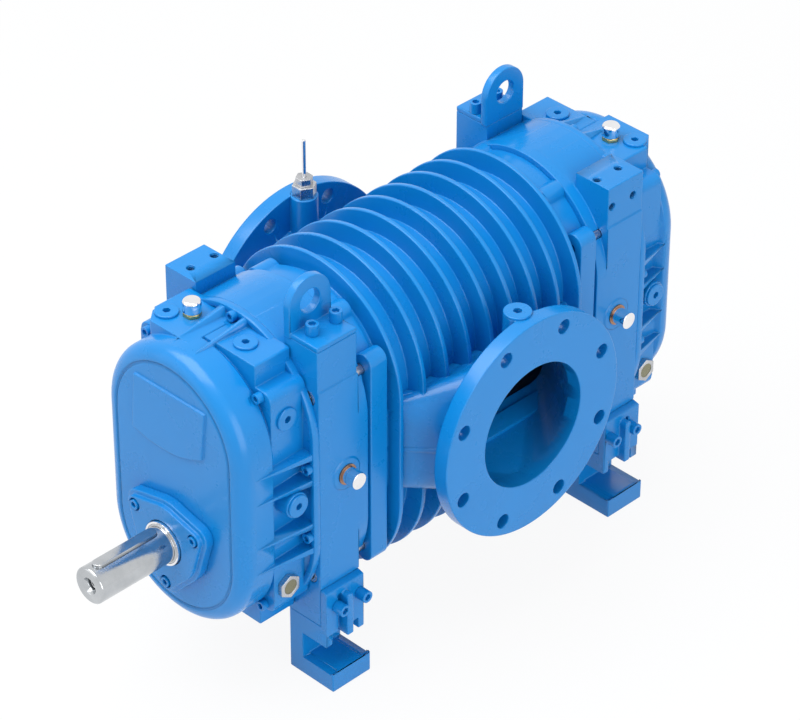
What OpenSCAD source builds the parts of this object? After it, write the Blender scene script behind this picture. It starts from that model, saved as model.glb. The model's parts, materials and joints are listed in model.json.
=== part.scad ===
// Three-lobe rotary compressor: two meshing rotors in a finned casing between two side plates.
// Lengths are in millimetres. X crosses the necks, Y runs along the shafts and Z is up.
// The drive end is at -Y. The origin is on the floor under the middle of the casing.

/* [Rotors] */
// Distance between the two rotor axes
axis_gap = 165; // [160:1:168]
// Height of the drive rotor's axis above the floor
drive_z = 250; // [246:1:270]
// Length of the rotor chamber
chamber_l = 452; // [430:1:500]
// Clearance between a lobe tip and the casing
tip_gap = 0.5; // [0.3:0.1:1]
// Clearance between the two rotors, square to their flanks
lobe_gap = 0.3; // [0.2:0.05:0.5]
// Clearance between a rotor's end and the side plate
rotor_end_gap = 0.3; // [0.2:0.05:0.6]
// Diameter of the core holes in the lobes
core_hole_d = 38; // [20:1:40]
// Distance of the core holes from the rotor's axis
core_hole_at = 72; // [66:1:76]

/* [Casing] */
// Thickness of the casing wall
casing_wall = 23.5; // [20:0.5:26]
// Height of the fins above the wall
fin_h = 30; // [20:1:34]
// Thickness of a fin
fin_t = 7; // [5:1:9]
// Distance from one fin to the next
fin_pitch = 44; // [38:1:45]
// Number of fins
fin_count = 9; // [7:2:9]
// Length of the casing's end flanges
end_flange_l = 36; // [28:1:38]
// Height of the end flanges above the wall
end_flange_h = 8; // [4:1:12]
// Radius of the half-round bosses for the plate screws
boss_r = 16; // [14:1:18]

/* [Necks] */
// Outer diameter of the neck flanges
neck_flange_d = 340; // [330:1:350]
// Thickness of the neck flanges
neck_flange_t = 24; // [18:1:30]
// Distance between the two neck flange faces
face_to_face = 486; // [470:2:520]
// Pitch circle of the neck flange holes
neck_pcd = 295; // [285:1:300]
// Diameter of the neck flange holes
neck_hole_d = 22; // [18:1:24]
// Number of holes in a neck flange
neck_hole_count = 8; // [8:4:12]
// Bore of the necks
neck_bore_d = 190; // [170:1:200]
// Wall of the neck behind its flange
neck_wall = 17; // [12:1:18]
// Height of the port where it meets the chamber
port_h = 110; // [90:1:120]
// Length of the port where it meets the chamber
port_l = 372; // [340:1:390]
// Thickness of the ribs on the sides of the necks
neck_rib_t = 7; // [5:1:9]
// Radius of the boss on top of each neck
neck_boss_r = 20; // [17:1:23]
// Bore of the boss on top of each neck
neck_boss_bore = 12; // [10:1:16]

/* [Side plates] */
// Thickness of the side plates
plate_t = 91; // [88:1:100]
// Width of the plate's rim beyond the rotor bore
plate_rim = 39.5; // [38:0.5:44]
// Length of the oval lip of the plate beside the casing
plate_lip = 19; // [15:1:22]
// Width of the corner blocks
block_w = 64; // [60:1:70]
// Height of the milled pads on the sides of the corner blocks
block_h = 68; // [64:1:76]
// Depth of the milled pads on top of and under the corner blocks
block_drop = 4; // [1:1:8]
// Depth of the milled pads on the sides of the corner blocks
block_side_drop = 2; // [1:0.5:4]
// Rounding of the corner blocks' outer edges
block_round = 10; // [6:1:14]
// Thread diameter of the corner blocks' holes
block_hole_d = 12; // [10:1:12]
// Depth of the corner blocks' holes
block_hole_depth = 24; // [20:1:25]
// Distance between the two holes of a pair
block_hole_gap = 43; // [38:1:46]
// Distance of the outer hole from the plate's outer face
block_hole_in = 20; // [16:1:22]

/* [Feet] */
// Thickness of a foot's pad
pad_t = 31; // [26:1:34]
// Width of a foot's pad
pad_w = 86; // [82:1:96]
// Distance of a foot's inner side from the middle plane
pad_in = 86; // [80:1:92]
// Thickness of a foot's web
web_t = 26; // [22:1:34]
// Thickness of a foot's two cheeks
cheek_t = 13; // [10:1:16]
// Height of the front cheek's nose
nose_h = 33; // [28:1:36]
// Thickness of the slab under the corner block
slab_t = 13; // [10:1:16]
// Thickness of a foot's upright
upright_t = 12; // [10:1:14]
// Thickness of the rib between the two foot screws
foot_rib_t = 11.5; // [8:0.5:13]
// Height of that rib above the upright's face
foot_rib_h = 12; // [8:1:16]
// Thread diameter of the foundation holes in a pad
pad_hole_d = 16; // [12:1:20]
// Depth of the foundation holes
pad_hole_depth = 24; // [18:1:25]

/* [Covers] */
// Thickness of the cover flanges
cover_flange_t = 9; // [8:1:12]
// Step from the flange's rim in to the cover's body
cover_rim = 16; // [14:1:18]
// Thickness of the cover wall at the crest
cover_wall = 22; // [20:1:24]
// Thickness of the cover's end wall
cover_end_t = 10; // [8:1:12]
// Depth of the front cover from the side plate
front_cover_l = 128; // [124:1:140]
// Depth of the rear cover from the side plate
rear_cover_l = 95; // [90:1:110]
// Distance of the crest from the side plate
crest_at = 70; // [66:1:74]
// Depth of the scooped recess behind the crest
recess_depth = 13; // [8:1:14]
// Rounding of the front cover's edge
cover_round = 22; // [16:1:24]
// Width of the groove round the front cover's face
groove_w = 3; // [2:0.5:4]
// Height of the bare plate on the front cover's face
face_pad_h = 3.5; // [2:0.5:5]
// Reach of the breather's lump from the side plate
breather_lump_l = 91; // [84:1:92]
// Thickness of the gusset ribs
gusset_t = 9; // [7:1:11]

/* [Shafts] */
// Diameter of the drive shaft's end
shaft_end_d = 55; // [50:1:58]
// Length of the drive shaft's end past the seal sleeve
shaft_end_l = 130; // [110:1:150]
// Diameter of the shafts in the rotors
rotor_seat_d = 75; // [72:1:78]
// Diameter of the shafts in the seal bushes
bush_seat_d = 70; // [68:1:71]
// Radial wall of the rotor seal bushes
bush_wall = 12.5; // [10:0.5:13]
// Width of the key
key_w = 16; // [14:1:18]
// Height of the key
key_h = 10; // [9:1:11]
// Length of the key
key_l = 110; // [80:1:116]
// Radial wall of the seal sleeve
sleeve_wall = 3; // [2:0.5:4]

/* [Bearings] */
// Bore of the bearings
bearing_d = 65; // [62:1:67]
// Outer diameter of the bearings
bearing_od = 140; // [136:1:140]
// Width of the bearings
bearing_w = 33; // [30:1:34]
// Diameter of the rollers
roller_d = 19.4; // [17:0.1:19.4]
// Number of rollers in a bearing
roller_count = 13; // [9:1:13]
// Radial running clearance of a roller
roller_gap = 0.05; // [0.03:0.01:0.08]
// Reach of the bearing retainers' flanges past the bearings
retainer_rim = 10; // [9:0.5:11]
// Thickness of the bearing retainers' flanges
retainer_t = 7; // [5:1:8]

/* [Gears] */
// Number of teeth on a timing gear
gear_teeth = 33; // [31:2:35]
// Face width of a timing gear
gear_w = 40; // [30:1:44]
// Backlash between the timing gears
backlash = 0.1; // [0.05:0.05:0.2]
// Pressure angle of the teeth
pressure_angle = 20; // [18:1:22]

/* [Lifting eyes] */
// Thickness of a lifting eye's plate
eye_t = 12; // [10:1:14]
// Thickness of a lifting eye's leg
eye_leg_t = 8; // [6:1:10]
// Radius of a lifting eye's round top
eye_r = 38; // [34:1:40]
// Diameter of a lifting eye's hole
eye_hole_d = 35; // [28:1:38]
// Height of the hole above the corner block
eye_hole_up = 43; // [40:1:48]

/* [Screws and plugs] */
// Diameter of the cover screws
cover_screw_d = 10; // [8:1:10]
// Distance of the cover screws from the plate's edge
cover_screw_in = 9; // [8.5:0.5:10]
// Diameter of the plate screws
plate_screw_d = 14; // [12:1:14]
// Diameter of the oil plugs' collars
plug_collar_d = 34; // [30:1:36]
// Diameter of the breather caps
breather_d = 26; // [24:1:30]
// Height of a breather cap
breather_h = 18; // [14:1:24]
// Height of the heads of the corner blocks' screws
block_head_h = 17; // [12:1:20]
// Width across the flats of the sight glasses
sight_af = 32; // [28:1:34]
// Diameter of the chrome plugs in the side plates
plate_plug_d = 25; // [22:1:27]
// Length of the chrome plugs in the side plates
plate_plug_l = 24; // [20:1:26]
// Width across the flats of the sensor's fitting
sensor_af = 36; // [30:1:38]
// Diameter of the sensor's probe
probe_d = 6; // [4:1:8]
// Reach of the probe above the neck boss
probe_up = 90; // [70:1:110]
// Reach of the probe below the neck boss's top
probe_down = 60; // [40:1:70]

/* [Hidden] */

$fn = 96;
paint = [0.14, 0.48, 0.80];
steel = [0.72, 0.73, 0.75];
bright = [0.88, 0.89, 0.90];
iron = [0.45, 0.46, 0.48];
brass = [0.75, 0.62, 0.30];
copper = [0.72, 0.42, 0.25];
rubber = [0.08, 0.08, 0.09];

// Radial clearance of a piece that is pressed or screwed into its seat
seat_gap = 0.02;
// How far a cutting solid reaches past the face that it opens
past = 1;

driven_z = drive_z + axis_gap;
mid_z = drive_z + axis_gap / 2;
pitch_r = axis_gap / 2;
roll_r = pitch_r / 6;
bore_r = pitch_r + 2 * roll_r + tip_gap;
casing_r = bore_r + casing_wall;
plate_in = chamber_l / 2;
plate_out = plate_in + plate_t;
plate_r = bore_r + plate_rim;
cover_r = plate_r - cover_rim;
cavity_r = cover_r - cover_wall;
flange_out = plate_out + cover_flange_t;
front_out = plate_out + front_cover_l;
rear_out = plate_out + rear_cover_l;
crest_y = plate_out + crest_at;
neck_x = face_to_face / 2;
neck_back_x = neck_x - neck_flange_t;
block_top = axis_gap / 2 + plate_r - block_drop;
block_in_y = plate_in + plate_lip;
block_mid_x = plate_r - block_w / 2;
block_mid_up = block_top - block_w / 2;
block_side = plate_r - block_side_drop;
hole_ys = [plate_out - block_hole_in, plate_out - block_hole_in - block_hole_gap];
block_under = mid_z - block_top;

// Plate screws: radius about the rotor axes, their angles, and the ones on the side ledges
plate_screw_r = casing_r + 2;
plate_screw_angles = [60, 120];
ledge_x = plate_r - boss_r;
ledge_up = pitch_r + 74;
ledge_back = plate_in - 5;
plate_screw_l = plate_t + 10;
plate_head_d = plate_screw_d * 1.5;

// Cover screws: the ones with their heads on the flange, then the ones on the tall bosses
cover_screw_r = plate_r - cover_screw_in;
flange_screws = concat(
  [for (s = [-1, 1]) [0, s * (pitch_r + cover_screw_r)]],
  [for (sx = [-1, 1], up = [44.5, -70]) [sx * cover_screw_r, up]]
);
boss_screw_angle = 40;
boss_screws = [for (sx = [-1, 1], sz = [-1, 1]) [
  sx * cover_screw_r * cos(boss_screw_angle),
  sz * (pitch_r + cover_screw_r * sin(boss_screw_angle))
]];
cover_screw_grip = 26;

// Cover lumps, measured out from the middle axis line and up from the middle height
lump_out = crest_y - 5;
top_lump_x = plate_r - 52;
top_lump_up = pitch_r + cover_r;
side_lump_x = cover_r - 7;
side_lump_up = pitch_r + 100;
side_lump_down = pitch_r - 25;
lump_round = 15;
plug_y = plate_out + 38;
breather_lump_x = top_lump_x - 5;
breather_lump_out = plate_out + breather_lump_l;
breather_x = breather_lump_x / 2;

// Bearings stand against a shoulder and are held by the retainers
bearing_out = plate_out - 7;
bearing_in = bearing_out - bearing_w;
roller_r = roller_d / 2;
roller_at = (bearing_d + bearing_od) / 4 - 0.25;
inner_race_r = roller_at - roller_r - roller_gap;
outer_race_r = roller_at + roller_r + roller_gap;
roller_l = bearing_w - 12;
retainer_bore_r = bearing_od / 2 - 9;
retainer_r = bearing_od / 2 + retainer_rim;
retainer_screw_d = 6;
retainer_screw_r = retainer_r - 5;
bush_r = bush_seat_d / 2 + bush_wall;

// Steps along the shafts
nut_seat_d = bearing_d - 5;
nut_t = 16;
nut_r = nut_seat_d / 2 + 10;
gear_in = plate_out + retainer_t + retainer_screw_d + 1;
gear_out = gear_in + gear_w;
sleeve_out = front_out + 25;
shaft_tip = sleeve_out + shaft_end_l;
slinger_out = bearing_out + nut_t + 15;
rear_shaft_end = gear_out + nut_t + 3;
front_shaft_end = bearing_out + nut_t + 4;

// Seal cover: screws at three lobes round the drive shaft
seal_screw_r = 67;
seal_lobe_r = 20;
seal_lobe_out = front_out + 14;
seal_step = 7;
seal_boss_r = 66;
seal_boss_out = front_out + 21;
seal_spigot_r = 52;
lip_seal_r = 45;
seal_angles = [30, 150, 270];

// The outline of points swept along Y, X or Z
module along_y(y0, y1) translate([0, y1, 0]) rotate([90, 0, 0]) linear_extrude(y1 - y0) children();
module along_x(x0, x1) translate([x0, 0, 0]) rotate([90, 0, 90]) linear_extrude(x1 - x0) children();
module along_z(z0, z1) translate([0, 0, z0]) linear_extrude(z1 - z0) children();

// Copies at both ends, both sides, and above and below the middle height
module front_end() mirror([0, 1, 0]) children();
module both_ends() { children(); front_end() children(); }
module both_sides() { children(); mirror([1, 0, 0]) children(); }
module on_side(s) { if (s > 0) children(); else mirror([1, 0, 0]) children(); }
module up_and_down() translate([0, 0, mid_z]) { children(); mirror([0, 0, 1]) children(); }

// Turned about a shaft's axis: the outline holds radius and distance along Y
module turned(z) translate([0, 0, z]) rotate([-90, 0, 0]) rotate_extrude() children();
// What points along +Z is put at a place and pointed along +Y or +X
module facing_y(p) translate(p) rotate([-90, 0, 0]) children();
module facing_x(p) translate(p) rotate([0, 90, 0]) children();

// Outline across the shafts: two half circles round the rotor axes and what lies between
module oval(r) translate([0, mid_z]) {
  for (s = [-1, 1]) translate([0, s * pitch_r]) circle(r);
  square([2 * r, axis_gap], center = true);
}

// An oval body whose section, in radius and Y, runs right round
module oval_turned(points) {
  translate([0, 0, driven_z]) rotate([-90, 0, 0]) rotate([0, 0, 180])
    rotate_extrude(angle = 180) polygon(points);
  translate([0, 0, drive_z]) rotate([-90, 0, 0]) rotate_extrude(angle = 180) polygon(points);
  along_z(drive_z, driven_z) {
    polygon(points);
    mirror([1, 0]) polygon(points);
  }
}

// Rectangle with round corners, from corner to corner
module round_rect(x0, y0, x1, y1, r) {
  translate([x0 + r, y0]) square([x1 - x0 - 2 * r, y1 - y0]);
  translate([x0, y0 + r]) square([x1 - x0, y1 - y0 - 2 * r]);
  for (x = [x0 + r, x1 - r], y = [y0 + r, y1 - r]) translate([x, y]) circle(r);
}

// Flat ring standing on z = 0
module ring(r_in, r_out, h) difference() {
  cylinder(r = r_out, h = h);
  translate([0, 0, -past]) cylinder(r = r_in, h = h + 2 * past);
}

// Socket head screw along +Z: its head stands on z = 0 and its shank reaches down
module cap_screw(d, l, head_h) difference() {
  union() {
    translate([0, 0, -l]) cylinder(d = d, h = l);
    cylinder(d = 1.5 * d, h = head_h);
  }
  translate([0, 0, head_h - d / 2]) cylinder(d = 0.9 * d, h = d, $fn = 6);
}

// Plug with a collar and a hex socket, standing on z = 0
module collar_plug(collar_d, shank_d, shank_l) difference() {
  rotate_extrude() polygon([
    [0, -shank_l], [shank_d / 2, -shank_l], [shank_d / 2, 0], [collar_d / 2, 0],
    [collar_d / 2, 3], [collar_d / 2 - 1, 4], [0, 4]
  ]);
  translate([0, 0, -5]) cylinder(d = collar_d / 3, h = 10, $fn = 6);
}

// Castings

module end_flange_outline() {
  oval(casing_r + end_flange_h);
  translate([0, mid_z]) for (s = [-1, 1], a = plate_screw_angles)
    translate([0, s * pitch_r] + plate_screw_r * [cos(a), s * sin(a)]) circle(boss_r);
}

module ledge_outline() translate([0, mid_z]) {
  square([2 * plate_r, 2 * ledge_up], center = true);
  for (sx = [-1, 1], sz = [-1, 1]) translate([sx * ledge_x, sz * ledge_up]) circle(boss_r);
}

module neck_body() {
  hull() {
    translate([casing_r - 9, -port_l / 2 - 3, mid_z - port_h / 2 - 10]) cube([5, port_l + 6, port_h + 20]);
    facing_x([neck_back_x - 5, 0, mid_z]) cylinder(d = neck_bore_d + 2 * neck_wall, h = 5);
  }
  facing_x([neck_back_x - 5, 0, mid_z]) cylinder(d = neck_bore_d + 2 * neck_wall, h = 6);
  facing_x([neck_back_x, 0, mid_z]) cylinder(d = neck_flange_d, h = neck_flange_t);
  along_z(mid_z - neck_rib_t / 2, mid_z + neck_rib_t / 2) polygon([
    [casing_r - 9, -port_l / 2 - 7], [neck_back_x, -neck_bore_d / 2 - neck_wall - 4],
    [neck_back_x, neck_bore_d / 2 + neck_wall + 4], [casing_r - 9, port_l / 2 + 7]
  ]);
  translate([neck_x - 35, 0, mid_z]) cylinder(r = neck_boss_r, h = neck_flange_d / 2);
}

module neck_duct() {
  hull() {
    translate([casing_r - 64, -port_l / 2, mid_z - port_h / 2]) cube([5, port_l, port_h]);
    facing_x([neck_back_x - 5, 0, mid_z]) cylinder(d = neck_bore_d, h = 5);
  }
  facing_x([neck_back_x - 5, 0, mid_z]) cylinder(d = neck_bore_d, h = neck_flange_t + 5 + past);
  for (k = [0 : neck_hole_count - 1]) translate([0, 0, mid_z])
    rotate([(k + 0.5) * 360 / neck_hole_count, 0, 0])
      facing_x([neck_back_x - past, 0, neck_pcd / 2])
        cylinder(d = neck_hole_d, h = neck_flange_t + 2 * past);
  translate([neck_x - 35, 0, mid_z]) cylinder(d = neck_boss_bore, h = neck_flange_d / 2 + past);
}

module main_casing() color(paint) difference() {
  union() {
    along_y(-plate_in, plate_in) oval(casing_r);
    for (k = [-(fin_count - 1) / 2 : (fin_count - 1) / 2])
      along_y(k * fin_pitch - fin_t / 2, k * fin_pitch + fin_t / 2) oval(casing_r + fin_h);
    both_ends() {
      along_y(plate_in - end_flange_l, plate_in) end_flange_outline();
      along_y(plate_in - end_flange_l, ledge_back) ledge_outline();
    }
    both_sides() neck_body();
  }
  for (z = [drive_z, driven_z])
    along_y(-plate_in - past, plate_in + past) translate([0, z]) circle(bore_r);
  both_sides() neck_duct();
  both_ends() {
    for (p = plate_screw_spots()) facing_y([p[0], plate_in - end_flange_l, p[1]])
      cylinder(d = plate_screw_d + 2 * seat_gap, h = end_flange_l + past);
    for (p = dowel_spots()) facing_y([p[0], plate_in - dowel_l / 2, p[1]])
      cylinder(d = dowel_d + 2 * seat_gap, h = dowel_l);
  }
}

// Places of the plate screws and the dowels, as X and Z
function plate_screw_spots() = concat(
  [for (s = [-1, 1], a = plate_screw_angles) [
    plate_screw_r * cos(a), mid_z + s * (pitch_r + plate_screw_r * sin(a))]],
  [for (sx = [-1, 1], sz = [-1, 1]) [sx * (ledge_x - 4), mid_z + sz * (ledge_up - 8)]]
);
dowel_d = 12;
dowel_l = 30;
function dowel_spots() = [for (s = [-1, 1]) [s * (bore_r + casing_wall / 2), mid_z - s * pitch_r]];

// The plate's squared outline behind its oval lip, with round corners
module block_outline() translate([0, mid_z])
  round_rect(-plate_r, -pitch_r - plate_r, plate_r, pitch_r + plate_r, block_round);

// Milled pads of the corner blocks, above, below and on the sides
module block_pads() both_sides() up_and_down() {
  translate([plate_r - block_w, block_in_y - past, block_top])
    cube([block_w + past, plate_t, block_drop + past]);
  translate([block_side, block_in_y - past, block_top + block_drop - block_h])
    cube([block_side_drop + past, plate_t, block_h + past]);
}

module block_hole(depth) cylinder(d = block_hole_d + 2 * seat_gap, h = depth + past);

// Holes of the corner blocks: on top, at the sides under the feet, and at one upper side
module block_holes(bare_side) for (y = hole_ys) {
  both_sides() {
    translate([block_mid_x, y, mid_z + block_top - block_hole_depth]) block_hole(block_hole_depth);
    facing_x([block_side - block_hole_depth, y, mid_z - block_mid_up]) block_hole(block_hole_depth);
  }
  on_side(bare_side) facing_x([block_side - block_hole_depth, y, mid_z + block_mid_up])
    block_hole(block_hole_depth);
}

plug_pad_y = plate_in + 42;
plug_pad_up = 10;
plug_pad_t = 2;
plug_pad_r = plate_plug_d / 2 + 12;

module side_plate(bare_side) difference() {
  union() {
    along_y(plate_in, plate_out) oval(plate_r);
    along_y(block_in_y, plate_out) block_outline();
    both_sides() facing_x([plate_r - past, plug_pad_y, mid_z + plug_pad_up])
      cylinder(r = plug_pad_r, h = plug_pad_t + past);
  }
  block_pads();
  for (z = [drive_z, driven_z]) {
    facing_y([0, plate_in - past, z]) cylinder(r = bush_r, h = plate_t);
    facing_y([0, bearing_in, z]) cylinder(d = bearing_od, h = plate_t);
    for (a = [45 : 90 : 315])
      facing_y([0, plate_out - 14, z] + retainer_screw_r * [cos(a), 0, sin(a)])
        cylinder(d = retainer_screw_d + 2 * seat_gap, h = 14 + past);
  }
  for (p = plate_screw_spots()) {
    facing_y([p[0], plate_in - past, p[1]]) cylinder(d = plate_screw_d + 1, h = plate_t + 2 * past);
    facing_y([p[0], plate_out - plate_screw_d - 1, p[1]])
      cylinder(d = plate_head_d + 1, h = plate_screw_d + 1 + past);
  }
  for (p = dowel_spots()) facing_y([p[0], plate_in - past, p[1]])
    cylinder(d = dowel_d + 2 * seat_gap, h = dowel_l / 2 + past);
  for (p = concat(flange_screws, boss_screws)) facing_y([p[0], plate_out - cover_screw_grip, mid_z + p[1]])
    cylinder(d = cover_screw_d + 2 * seat_gap, h = cover_screw_grip + past);
  block_holes(bare_side);
  facing_x([plate_r - 20, plug_pad_y, mid_z + plug_pad_up])
    cylinder(d = plate_plug_d * 0.6 + 2 * seat_gap, h = 20 + plug_pad_t + past);
}

module front_side_plate() color(paint) front_end() side_plate(-1);
module rear_side_plate() color(paint) side_plate(1);

// Covers: a flange, a scooped recess, a crest and a rounded body round the oil sump
function cover_section(out, rounding) = concat(
  [[0, plate_out], [plate_r, plate_out], [plate_r, flange_out], [cover_r - recess_depth, flange_out],
   [cover_r - recess_depth, crest_y - 11], [cover_r, crest_y]],
  [for (a = [0 : 10 : 90]) [cover_r - rounding + rounding * cos(a), out - rounding + rounding * sin(a)]],
  [[0, out]]
);
function cavity_section(out) = concat(
  [[0, plate_out - past], [cavity_r, plate_out - past]],
  [for (a = [0 : 15 : 90]) [cavity_r - 12 + 12 * cos(a), out - cover_end_t - 12 + 12 * sin(a)]],
  [[0, out - cover_end_t]]
);

// Corner lumps of a cover: a high one on top with a plug and a lower one at the side
module lump_outline() translate([0, mid_z]) {
  round_rect(0, 0, top_lump_x, top_lump_up, 3);
  round_rect(0, side_lump_down, side_lump_x, side_lump_up, lump_round);
}

// The breather's lump reaches further out than the others, with one corner cut
module breather_lump() along_z(driven_z, mid_z + top_lump_up) polygon([
  [0, plate_out + 2], [breather_lump_x, plate_out + 2], [breather_lump_x, breather_lump_out - 19],
  [breather_lump_x - 16, breather_lump_out], [0, breather_lump_out]
]);

// A gusset rib from the flange's rim to a sharp nose on the cover, in the plane X = 0 and pointing up.
// The outline seen from the side and the one seen from above cut each other.
module gusset(foot_up, rim_up, nose_up, nose_y) intersection() {
  along_x(-gusset_t, gusset_t) polygon([[plate_out + 2, foot_up], [plate_out + 2, rim_up],
    [flange_out, rim_up], [nose_y, nose_up], [nose_y, foot_up]]);
  along_z(0, rim_up + past) polygon([[-gusset_t / 2, plate_out + 1], [gusset_t / 2, plate_out + 1],
    [gusset_t / 2, flange_out], [0.5, nose_y + 1], [-0.5, nose_y + 1], [-gusset_t / 2, flange_out]]);
}

module side_gussets(nose_y) for (up = [65.5, 23.5, -49.5, -90.5]) translate([0, 0, mid_z + up])
  rotate([0, 90, 0]) gusset(cavity_r + 5, plate_r - 2, cover_r, nose_y);

module crown_gussets(nose_y) for (x = [-21, 21]) translate([x, 0, driven_z])
  gusset(cavity_r + 5, plate_r - 4, sqrt(pow(cover_r, 2) - pow(x, 2)), nose_y);

module cover_holes(lump_y) {
  for (p = flange_screws) facing_y([p[0], plate_out - past, mid_z + p[1]])
    cylinder(d = cover_screw_d + 1, h = cover_flange_t + 2 * past);
  for (p = flange_screws) facing_y([p[0], flange_out, mid_z + p[1]])
    cylinder(d = cover_screw_d * 1.5 + 4, h = cover_screw_d + 6);
  for (p = boss_screws) {
    facing_y([p[0], plate_out - past, mid_z + p[1]])
      cylinder(d = cover_screw_d + 1, h = lump_y - plate_out + 2 * past);
    facing_y([p[0], lump_y, mid_z + p[1]]) cylinder(d = cover_screw_d * 1.5 + 4, h = cover_screw_d + 4);
  }
}

module cover_shell(out, rounding, breather_side) {
  oval_turned(cover_section(out, rounding));
  both_sides() up_and_down() translate([0, 0, -mid_z]) along_y(plate_out + 2, lump_out) lump_outline();
  on_side(breather_side) breather_lump();
  both_sides() {
    side_gussets(out - rounding - 5);
    facing_x([cavity_r, plug_y, mid_z]) cylinder(r = mid_boss_r, h = mid_boss_x - cavity_r);
  }
  crown_gussets(out - rounding - 5);
}

mid_boss_r = plug_collar_d / 2 + 2;
mid_boss_x = plate_r - 4;

// The bare plate on the front cover's face, from the driven shaft's axis, with an arc for its lower edge
module face_pad() intersection() {
  polygon([[-77, -25], [-69, 72.5], [70, 74], [60, -25]]);
  translate([-22, 143]) circle(169);
}

module front_cover() color(paint) front_end() difference() {
  union() {
    cover_shell(front_out, cover_round, -1);
    along_y(front_out - past, front_out + face_pad_h) translate([0, driven_z]) face_pad();
  }
  oval_turned(cavity_section(front_out));
  cover_holes(lump_out);
  along_y(front_out - groove_w / 2, front_out + past) difference() {
    oval(cover_r - cover_round);
    oval(cover_r - cover_round - groove_w);
  }
  facing_y([0, front_out - cover_end_t - past, drive_z])
    cylinder(r = seal_spigot_r, h = cover_end_t + 2 * past);
  for (a = seal_angles) facing_y([0, front_out - cover_end_t - past, drive_z]
      + seal_screw_r * [cos(a), 0, sin(a)])
    cylinder(d = cover_screw_d + 2 * seat_gap, h = cover_end_t + 2 * past);
  plug_holes(front_plugs);
}

module rear_cover() color(paint) difference() {
  cover_shell(rear_out, cover_round - 2, 1);
  oval_turned(cavity_section(rear_out));
  cover_holes(lump_out);
  plug_holes(rear_plugs);
}

// Plugs, as place with Y measured outwards, and the way they face
plug_shank_d = 18;
plug_shank_l = 12;
front_plugs = [
  [[top_lump_x - 46, plug_y, mid_z + top_lump_up], "up"],
  [[side_lump_x, plug_y, mid_z + pitch_r + 51], "right"],
  [[mid_boss_x, plug_y, mid_z], "right"],
  [[18 - breather_lump_x, breather_lump_out - 28, mid_z + top_lump_up], "up"],
  [[-breather_x, plug_y + 5, mid_z + top_lump_up], "up"],
  [[side_lump_x, plug_y + 4, mid_z - pitch_r - 60], "right"],
];
rear_plugs = [
  [[breather_lump_x - 18, breather_lump_out - 28, mid_z + top_lump_up], "up"],
  [[mid_boss_x, plug_y, mid_z], "right"],
  [[46 - top_lump_x, plug_y, mid_z + top_lump_up], "up"],
  [[breather_x, plug_y + 5, mid_z + top_lump_up], "up"],
  [[side_lump_x, plug_y + 4, mid_z - pitch_r - 60], "right"],
];

module at_plug(p) {
  if (p[1] == "up") translate(p[0]) children();
  else facing_x(p[0]) children();
}
module plug_holes(plugs) for (p = plugs) at_plug(p) translate([0, 0, -plug_shank_l - 30])
  cylinder(d = plug_shank_d + 2 * seat_gap, h = plug_shank_l + 30 + past);

// Three lobes round the screws, joined to the round middle by lines that run just inside both
seal_blend = 0.2;
module seal_outline(r, lobe_r) {
  flank = acos((r - lobe_r) / seal_screw_r);
  circle(r);
  for (a = seal_angles) rotate(a) {
    translate([seal_screw_r, 0]) circle(lobe_r);
    polygon([
      [0, 0], (r - seal_blend) * unit(-flank), [seal_screw_r, 0] + (lobe_r - seal_blend) * unit(-flank),
      [seal_screw_r, 0] + (lobe_r - seal_blend) * unit(flank), (r - seal_blend) * unit(flank)
    ]);
  }
}

module seal_cover() color(paint) front_end() difference() {
  union() {
    along_y(front_out, seal_lobe_out) translate([0, drive_z]) seal_outline(seal_boss_r, seal_lobe_r);
    along_y(front_out, seal_boss_out) translate([0, drive_z])
      seal_outline(seal_boss_r - seal_step, seal_lobe_r - seal_step);
    facing_y([0, front_out - 8, drive_z]) cylinder(r = seal_spigot_r - seat_gap, h = 9);
  }
  facing_y([0, front_out - 8 - past, drive_z]) cylinder(r = lip_seal_r, h = 8 + 16 + past);
  facing_y([0, front_out, drive_z])
    cylinder(r = nut_seat_d / 2 + sleeve_wall + 1, h = seal_boss_out - front_out + past);
  for (a = seal_angles) translate(seal_screw_r * [cos(a), 0, sin(a)]) {
    facing_y([0, front_out - past, drive_z]) cylinder(d = cover_screw_d + 1, h = 30);
    facing_y([0, seal_lobe_out - 1, drive_z]) cylinder(d = cover_screw_d * 1.5 + 4, h = 30);
  }
}

// Feet: a C in two cheeks, a pad, a web and a slab, and an upright with a rib between its two screws
foot_rib_y = hole_ys[1] + 0.75 * block_hole_d + 13.5;
foot_slot_w = 7;
foot_slot_y = foot_rib_y + foot_rib_t;
upright_x = block_side + upright_t;
slab_under = block_under - slab_t;
upright_h = block_h - block_drop;
slot_up = block_under + upright_h - 18;
inner_cheek_t = 18;
pad_step = 2.5;
pad_hole_x = pad_in + (pad_w + web_t) / 2 - 8;
pad_hole_y = (block_in_y + plate_out) / 2;

module foot_profile(under) {
  translate([pad_in, 0]) square([pad_w, pad_t]);
  translate([pad_in, 0]) square([web_t, block_under]);
  translate([pad_in, under]) square([block_side - pad_in, block_under - under]);
}

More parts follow.
